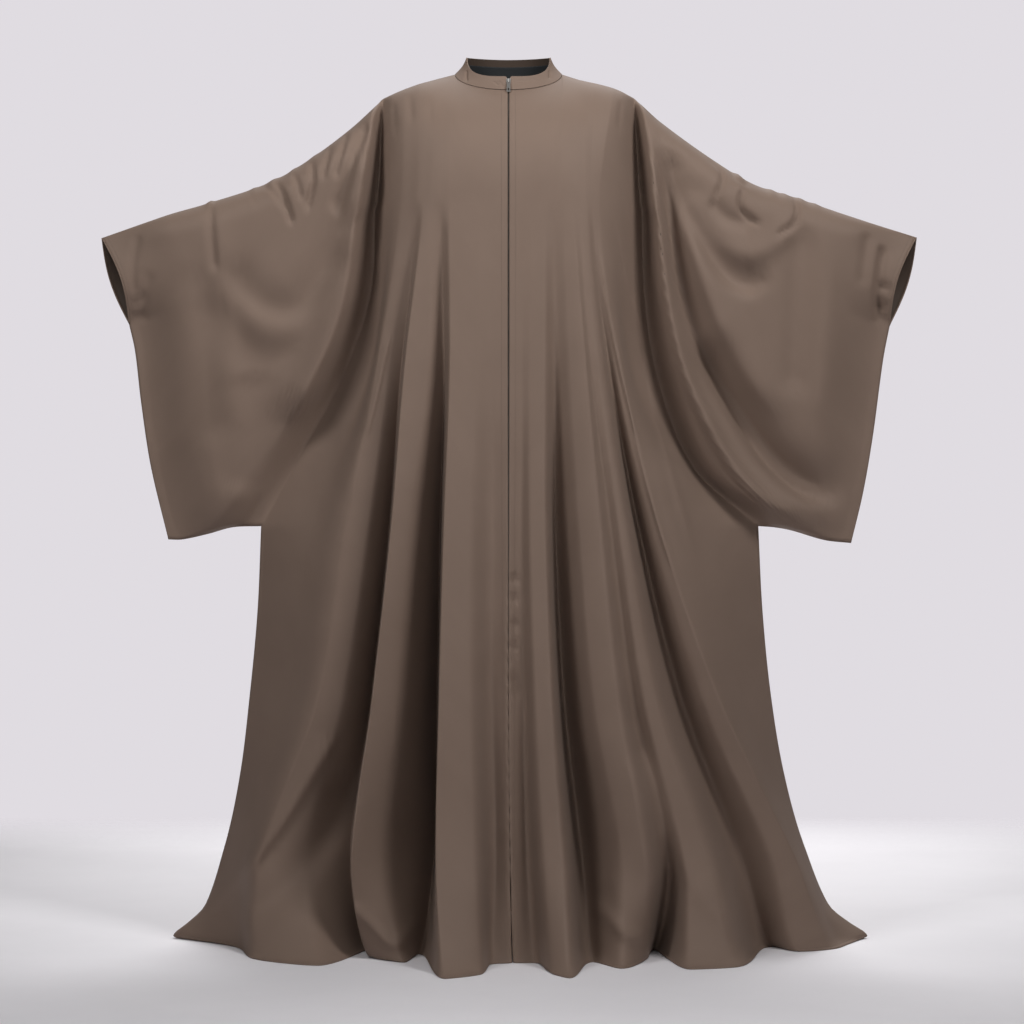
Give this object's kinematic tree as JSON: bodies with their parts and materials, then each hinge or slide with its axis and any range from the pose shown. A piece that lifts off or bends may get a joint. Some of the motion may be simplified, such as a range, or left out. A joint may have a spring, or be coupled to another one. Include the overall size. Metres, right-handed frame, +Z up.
{
  "type": "abaya",
  "caption": "Floor-length batwing abaya with a stand collar and a centre-front zip, filled out as worn, with its wide sleeves held out to the sides.",
  "frame": {"origin": "midway between the shoulder ends of the neck seam, level with them, where the wearer's shoulders hold the garment up", "axes": "+Z up, -Y towards the garment's front, +X towards its left sleeve, which is on the right in a view of the front"},
  "size_m": [1.344, 0.719, 1.4586],
  "materials": {
    "crepe": "plain taupe crepe with a soft sheen",
    "dark_facing": "matte charcoal facing cloth",
    "zip_tape": "woven zip tape, a little darker than the cloth",
    "zip_metal": "plated zip metal"
  },
  "bodies": {
    "garment": {"front_left": "crepe", "front_right": "crepe", "back_left": "crepe", "back_right": "crepe", "collar": "crepe", "collar_facing": "dark_facing", "zip_tape_left": "zip_tape", "zip_tape_right": "zip_tape", "zip_slider": "zip_metal"},
    "zip_pull": {"zip_pull": "zip_metal"}
  },
  "joints": [
    {"name": "pull_swing", "type": "hinge", "parent": "garment", "child": "zip_pull", "pos_m": [0, -0.06413, -0.01956], "axis": [-1, 0, 0], "range_deg": [0, 140]}
  ]
}
